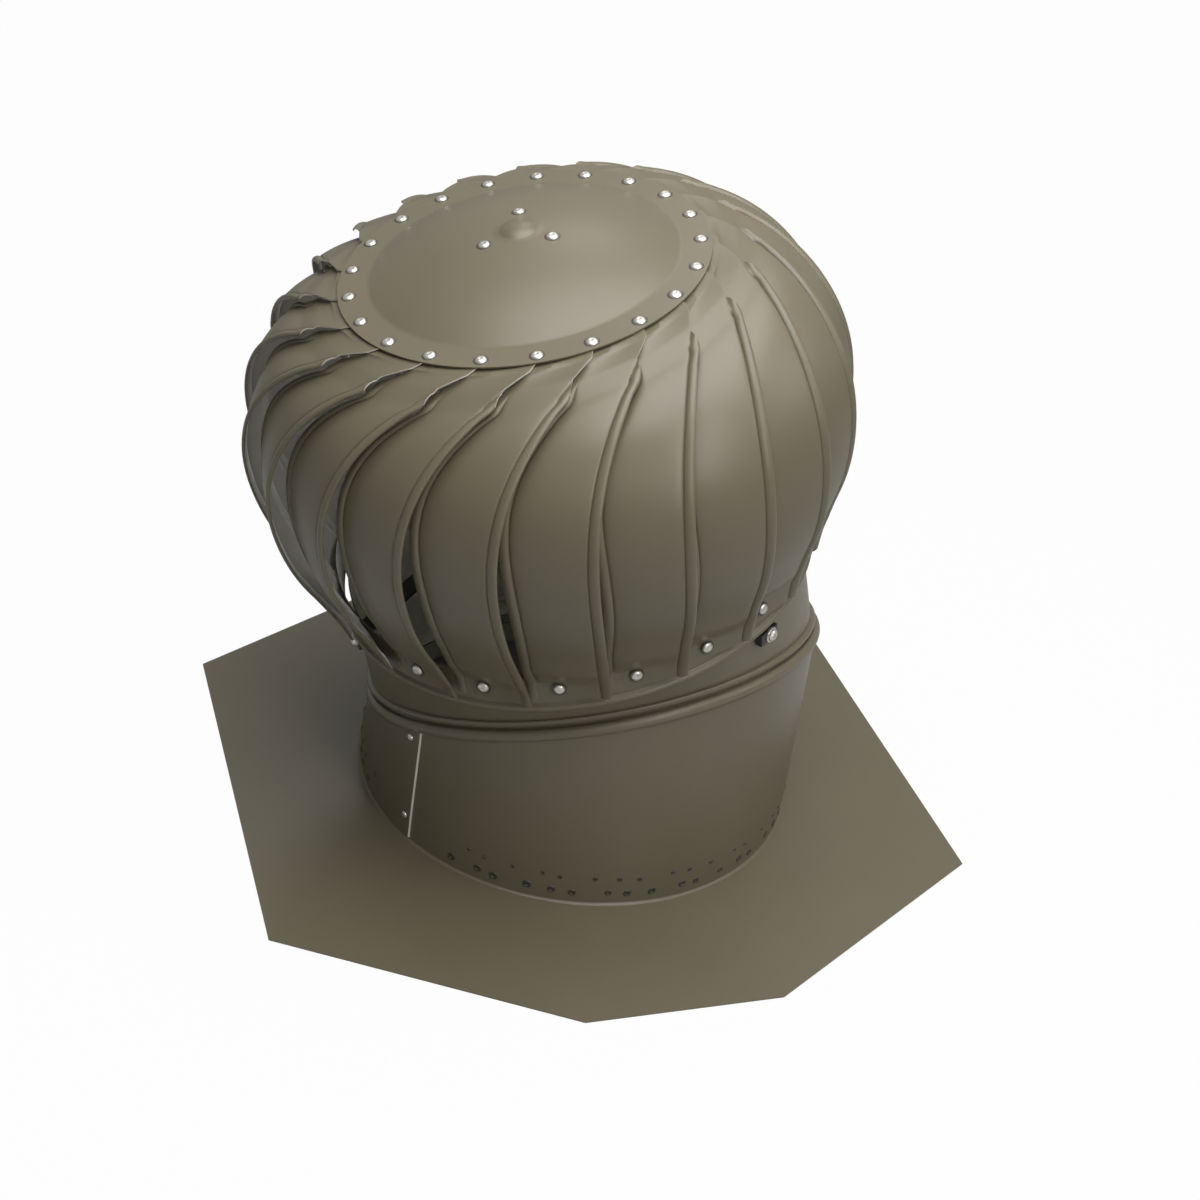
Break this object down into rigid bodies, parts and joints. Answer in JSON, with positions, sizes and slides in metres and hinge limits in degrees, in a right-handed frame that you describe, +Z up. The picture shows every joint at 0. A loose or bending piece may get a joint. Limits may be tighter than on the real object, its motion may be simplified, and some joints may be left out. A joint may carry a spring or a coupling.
{
  "type": "turbine roof vent",
  "caption": "Turbine roof vent: octagonal flashing, round tube with a slanted swivel for roof pitch, and a tilted spinning head of curved sheet vanes.",
  "frame": {"origin": "on the duct's axis, at the level of the flashing's underside", "axes": "+Z up and away from the roof, X along the flashing's front edge, +Y towards its back edge"},
  "size_m": [0.4963, 0.506, 0.4322],
  "materials": {
    "bronze_sheet": "satin dark bronze paint",
    "black_steel": "satin black paint",
    "bright_steel": "bright drawn",
    "bush_plastic": "plain moulded"
  },
  "bodies": {
    "base": {"flashing": "bronze_sheet", "base_tube": "bronze_sheet"},
    "collar": {"swivel_collar": "bronze_sheet", "brace_leg_1": "black_steel", "brace_leg_2": "black_steel", "brace_leg_3": "black_steel", "brace_pad_1": "black_steel", "brace_pad_2": "black_steel", "brace_pad_3": "black_steel", "brace_hub": "black_steel", "shaft": "bright_steel", "retaining_ring": "bright_steel"},
    "rotor": {"lower_bush": "bush_plastic", "upper_bush": "bush_plastic", "thrust_pad": "bush_plastic", "bearing_sleeve": "bright_steel", "top_plate": "bronze_sheet", "bottom_ring": "bronze_sheet", "vane_01": "bronze_sheet", "vane_02": "bronze_sheet", "vane_03": "bronze_sheet", "vane_04": "bronze_sheet", "vane_05": "bronze_sheet", "vane_06": "bronze_sheet", "vane_07": "bronze_sheet", "vane_08": "bronze_sheet", "vane_09": "bronze_sheet", "vane_10": "bronze_sheet", "vane_11": "bronze_sheet", "vane_12": "bronze_sheet", "vane_13": "bronze_sheet", "vane_14": "bronze_sheet", "vane_15": "bronze_sheet", "vane_16": "bronze_sheet", "vane_17": "bronze_sheet", "vane_18": "bronze_sheet", "vane_19": "bronze_sheet", "vane_20": "bronze_sheet", "vane_21": "bronze_sheet"}
  },
  "joints": [
    {"name": "pitch_swivel", "type": "hinge", "parent": "base", "child": "collar", "pos_m": [0, 0, 0.104], "axis": [-0.1737, 0.341, 0.9239], "continuous": true},
    {"name": "turbine_spin", "type": "hinge", "parent": "collar", "child": "rotor", "pos_m": [0, 0, 0.104], "axis": [-0.2819, -0.0323, 0.9589], "continuous": true}
  ]
}
